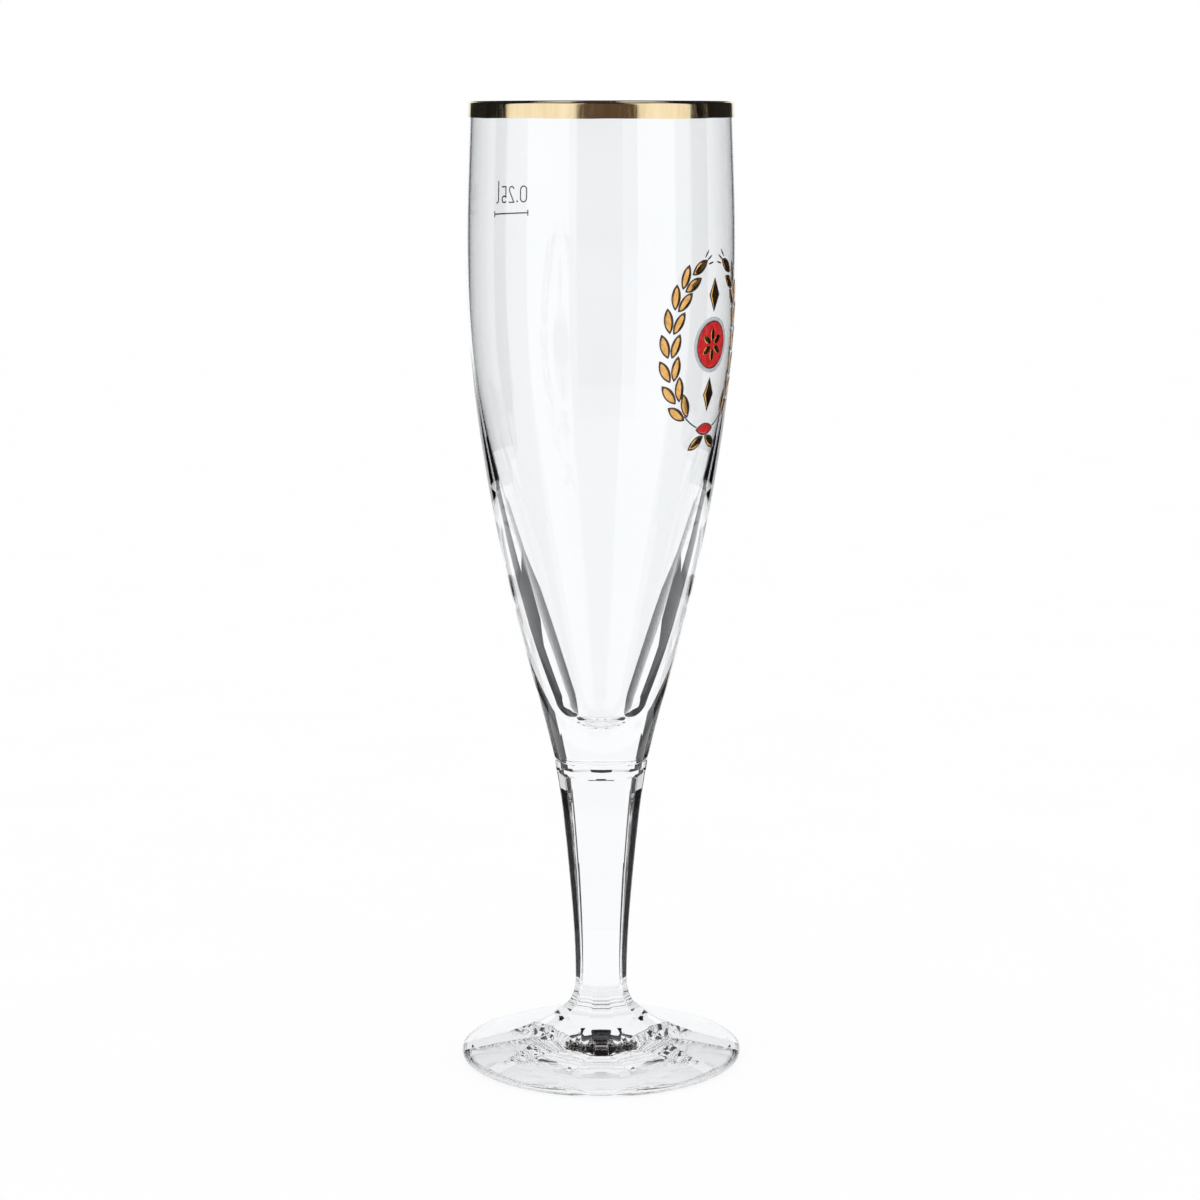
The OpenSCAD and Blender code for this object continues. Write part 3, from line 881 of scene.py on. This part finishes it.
def print_effects():
    """What fired layers share: mottling, uneven gloss and a fine grain."""
    tree, given, out = group("print_effects", ("Grain Strength",), (
        ("Mottle", "NodeSocketFloat"), ("Gloss", "NodeSocketFloat"),
        ("Grain", "NodeSocketVector")))
    mottle = ranged(tree, noise(tree, *MOTTLE_CLOUD), 0, 1)
    gloss = ranged(tree, noise(tree, *GLOSS_CLOUD), *PRINT_GLOSS)
    grain = bumped(tree, noise(tree, *GRAIN_CLOUD), 1, GRAIN_DEPTH)
    tree.links.new(given["Grain Strength"], grain.inputs["Strength"])
    for made, label in ((mottle, "Mottle"), (gloss, "Gloss"), (grain, "Grain")):
        tree.links.new(made.outputs[0], out[label])
    return tree


def shared(tree, effects, **values):
    """Places a shared effect in a material, with values by input name, _ for a space."""
    made = node(tree, "ShaderNodeGroup", node_tree=effects)
    for key, value in values.items():
        made.inputs[key.replace("_", " ")].default_value = value
    return made


def new_material(name, bare=False):
    """A new material and its nodes, all taken out where bare."""
    material = bpy.data.materials.new(name)
    material.use_nodes = True
    if bare:
        material.node_tree.nodes.clear()
    return material, material.node_tree


def bare_material(name, shader, colour=None):
    """A material with one plain shader."""
    material, tree = new_material(name, bare=True)
    made = node(tree, shader)
    if colour:
        made.inputs["Color"].default_value = (*colour, 1)
    out = node(tree, "ShaderNodeOutputMaterial")
    tree.links.new(made.outputs[0], out.inputs["Surface"])
    return material


def clear_glass(name):
    """Clear glass that lets the light through to the table with a faint shadow."""
    material, tree = new_material(name, bare=True)
    glass = node(tree, "ShaderNodeBsdfPrincipled", IOR=IOR)
    glass.inputs["Transmission Weight"].default_value = 1
    effects = shared(tree, GLASS_EFFECTS, Film_Roughness=FILM, Wave_Strength=WAVES)
    through = node(tree, "ShaderNodeBsdfTransparent", Color=(*GLASS_SHADOW, 1))
    path = node(tree, "ShaderNodeLightPath")
    mix = node(tree, "ShaderNodeMixShader")
    out = node(tree, "ShaderNodeOutputMaterial")
    tree.links.new(effects.outputs["Tint"], glass.inputs["Base Color"])
    tree.links.new(effects.outputs["Film"], glass.inputs["Roughness"])
    tree.links.new(effects.outputs["Waves"], glass.inputs["Normal"])
    tree.links.new(path.outputs["Is Shadow Ray"], mix.inputs[0])
    tree.links.new(glass.outputs[0], mix.inputs[1])
    tree.links.new(through.outputs[0], mix.inputs[2])
    tree.links.new(mix.outputs[0], out.inputs["Surface"])
    return material


def fired_layer(name, dark, light, metal):
    """Fired gold or enamel, mottled between two colours."""
    material, tree = new_material(name)
    layer = tree.nodes["Principled BSDF"]
    effects = shared(tree, PRINT_EFFECTS, Grain_Strength=GRAIN_BUMP)
    layer.inputs["Metallic"].default_value = metal
    layer.inputs["Coat Weight"].default_value = 0 if metal else ENAMEL_COAT
    colour = ramp(tree, effects.outputs["Mottle"], dark, light, 0, 1)
    tree.links.new(colour, layer.inputs["Base Color"])
    tree.links.new(effects.outputs["Gloss"], layer.inputs["Roughness"])
    tree.links.new(effects.outputs["Grain"], layer.inputs["Normal"])
    return material


def band_gold():
    """The gold of the rim: bright, with soft streaks up and down from the brush."""
    material, tree = new_material("rim_gold")
    gold = tree.nodes["Principled BSDF"]
    gold.inputs["Metallic"].default_value = 1
    streaks, fine_streaks = noise(tree, *STREAK_CLOUD), noise(tree, *FINE_STREAK_CLOUD)
    gloss = ranged(tree, fine_streaks, *BAND_GLOSS)
    relief = bumped(tree, streaks, STREAK_BUMP, STREAK_DEPTH)
    tree.links.new(ramp(tree, streaks, BAND_DARK, BAND_LIGHT), gold.inputs["Base Color"])
    tree.links.new(gloss.outputs[0], gold.inputs["Roughness"])
    tree.links.new(relief.outputs[0], gold.inputs["Normal"])
    return material


def dress(piece, glass, joint, seams):
    """Gives a piece its glass, and the clear joint on its level faces at the seams."""
    piece.data.materials.append(glass)
    piece.data.materials.append(joint)
    for face in piece.data.polygons:
        level = abs(face.normal.z) > LEVEL
        if level and any(abs(face.center.z - z) < SEAM_REACH for z in seams):
            face.material_index = 1


def place_on(piece, name, slot):
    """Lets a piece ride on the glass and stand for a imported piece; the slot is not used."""
    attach(piece, "root")
    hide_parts(name)


GLASS_EFFECTS, PRINT_EFFECTS = glass_effects(), print_effects()
joint = bare_material("fused_joint", "ShaderNodeBsdfTransparent")
for name, slot, make, seams in (
        ("bowl", "bowl_glass", blown_bowl, [WELD_Z]),
        ("stem", "stem_glass", pressed_stem, [WELD_Z, WAIST_Z]),
        ("foot", "foot_glass", pressed_foot, [WAIST_Z])):
    piece = make()
    dress(piece, clear_glass(slot), joint, seams)
    place_on(piece, name, slot)

finishes = {slot: fired_layer(slot, *look) for slot, look in LAYERS.items()}
finishes["rim_gold"] = band_gold()
for name, slot, make in (
        ("gold_rim", "rim_gold", gold_rim),
        ("fill_line", "mark_enamel", fill_line),
        ("fill_figures", "mark_enamel", fill_figures),
        ("print_gold", "print_gold", print_gold),
        ("print_dark", "dark_enamel", print_dark),
        ("print_red", "red_enamel", print_red),
        ("print_silver", "silver_enamel", print_silver)):
    piece = make()
    piece.data.materials.append(finishes[slot])
    place_on(piece, name, slot)


def stand_camera():
    """The camera in front of the glass, looking a little down."""
    turn = (math.radians(90 - CAMERA_PITCH), 0, 0)
    bpy.ops.object.camera_add(location=CAMERA_PLACE, rotation=turn)
    camera = bpy.context.object
    camera.data.sensor_width = SENSOR_W
    camera.data.lens = CAMERA_LENS
    camera.data.clip_start, camera.data.clip_end = CLIP
    bpy.context.scene.camera = camera
    bpy.context.view_layer.update()
    return camera


def hang(card, camera, material):
    """Shows a card of the light tent in glass and gold only, and hangs it on the camera."""
    card.data.materials.append(material)
    card.visible_camera = False
    card.visible_diffuse = False
    card.visible_shadow = False
    card.visible_volume_scatter = False
    card.parent = camera
    card.matrix_parent_inverse = camera.matrix_world.inverted()


def curtain(name, camera, turns, radius, low, high, material):
    """An upright curved card round the glass, between two turns from the camera's side."""
    start, end = turns
    turn = math.radians(start)
    card = one_point(name, (math.sin(turn) * radius, -math.cos(turn) * radius, low))
    bpy.ops.mesh.extrude_region_move(TRANSFORM_OT_translate={"value": (0, 0, high - low)})
    bpy.ops.mesh.select_all(action="SELECT")
    bpy.ops.mesh.spin(
        steps=CARD_STEPS, angle=math.radians(start - end), center=(0, 0, 0), axis=(0, 0, 1))
    bpy.ops.object.mode_set(mode="OBJECT")
    hang(card, camera, material)


def lid(name, camera, radius, z, material):
    """A flat card over the glass."""
    bpy.ops.mesh.primitive_circle_add(
        vertices=LID_SIDES, radius=radius, fill_type="NGON", location=(0, 0, z))
    card = bpy.context.object
    card.name = card.data.name = name
    hang(card, camera, material)


def cut_card(name, camera, corners, material):
    """A flat card with straight edges, its corners in millimetres."""
    places = [Vector(corner) * MM for corner in corners]
    card = one_point(name, places[0])
    for here, there in zip(places, places[1:]):
        bpy.ops.mesh.extrude_region_move(TRANSFORM_OT_translate={"value": there - here})
    bpy.ops.mesh.select_all(action="SELECT")
    bpy.ops.mesh.edge_face_add()
    bpy.ops.object.mode_set(mode="OBJECT")
    hang(card, camera, material)


def front_cloth():
    """The card on the camera's side: dim low down for the cup, warm and dark above for the gold."""
    material, tree = new_material("front_cloth", bare=True)
    coords = node(tree, "ShaderNodeTexCoord")
    split = node(tree, "ShaderNodeSeparateXYZ")
    light = node(tree, "ShaderNodeEmission")
    out = node(tree, "ShaderNodeOutputMaterial")
    tree.links.new(coords.outputs["Object"], split.inputs[0])
    shade = ramp(tree, split.outputs["Z"], DIM, WARM_DARK, *FRONT_STOPS)
    tree.links.new(shade, light.inputs["Color"])
    tree.links.new(light.outputs[0], out.inputs["Surface"])
    return material


def table_top():
    """White to the camera and in glass and metal, and it still takes the shadow of the glass."""
    material, tree = new_material("table_top")
    top = tree.nodes["Principled BSDF"]
    cloud = noise(tree, *TABLE_CLOUD)
    rough = ranged(tree, cloud, *TABLE_ROUGH)
    tree.links.new(ramp(tree, cloud, TABLE_LOW, TABLE_HIGH), top.inputs["Base Color"])
    tree.links.new(rough.outputs[0], top.inputs["Roughness"])
    top.inputs["Specular IOR Level"].default_value = 0
    out = tree.nodes["Material Output"]
    path = node(tree, "ShaderNodeLightPath")
    glow = node(tree, "ShaderNodeEmission")
    seen = node(tree, "ShaderNodeMath", operation="MAXIMUM")
    also = node(tree, "ShaderNodeMath", operation="MAXIMUM")
    share = node(tree, "ShaderNodeMath", operation="MULTIPLY")
    share.inputs[1].default_value = TABLE_GLOW
    mix = node(tree, "ShaderNodeMixShader")
    tree.links.new(path.outputs["Is Camera Ray"], seen.inputs[0])
    tree.links.new(path.outputs["Is Glossy Ray"], seen.inputs[1])
    tree.links.new(seen.outputs[0], also.inputs[0])
    tree.links.new(path.outputs["Is Transmission Ray"], also.inputs[1])
    tree.links.new(also.outputs[0], share.inputs[0])
    tree.links.new(share.outputs[0], mix.inputs[0])
    tint = ramp(tree, path.outputs["Is Camera Ray"], GLASS_WHITE, (1, 1, 1), 0, 1)
    tree.links.new(tint, glow.inputs["Color"])
    tree.links.new(top.outputs[0], mix.inputs[1])
    tree.links.new(glow.outputs[0], mix.inputs[2])
    tree.links.new(mix.outputs[0], out.inputs["Surface"])
    return material


camera = stand_camera()
black = bare_material("black_cloth", "ShaderNodeEmission", BLACK)
soft = bare_material("soft_box", "ShaderNodeEmission", (1, 1, 1))
back = bare_material("back_card", "ShaderNodeEmission", GLASS_WHITE)
for side, sign in (("left", -1), ("right", 1)):
    for name, near, far, radius, low, high in FLAGS:
        turns = (sign * (180 - near), sign * (180 - far))
        curtain(name + "_" + side, camera, turns, radius, low, high, black)
    corners = [(sign * x, y, TABLE_CARD_Z) for x, y in TABLE_CARD]
    cut_card("table_card_" + side, camera, corners, black)
for name, turns, cloth in (
        ("side_left", SIDE_LEFT, black), ("side_right", SIDE_RIGHT, black),
        ("front", FRONT, front_cloth()), ("soft_left", SOFT_LEFT, soft),
        ("soft_right", SOFT_RIGHT, soft)):
    curtain(name, camera, turns, FAR, CARD_FOOT, CARD_TOP, cloth)
curtain("back_card", camera, BACK, FAR, CARD_FOOT, BACK_H, back)
cut_card("back_arch", camera, [(x, ARCH_AT, z) for x, z in ARCH], black)
lid("top", camera, LID_R, CARD_TOP, black)
curtain("top_back", camera, TOP_BACK, TOP_BACK_R, BACK_H, CARD_TOP, black)

bpy.ops.mesh.primitive_plane_add(size=TABLE_W, location=(0, 0, TABLE_Z - TABLE_GAP))
floor = bpy.context.object
floor.name = "table"
floor.data.materials.append(table_top())

world = bpy.data.worlds.new("studio")
bpy.context.scene.world = world
world.use_nodes = True
background = world.node_tree.nodes["Background"]
background.inputs["Color"].default_value = (1, 1, 1, 1)
background.inputs["Strength"].default_value = 1

scene = bpy.context.scene
scene.view_settings.view_transform = "Standard"
scene.cycles.max_bounces = 32
scene.cycles.glossy_bounces = 24
scene.cycles.transmission_bounces = 28
scene.cycles.transparent_max_bounces = 24
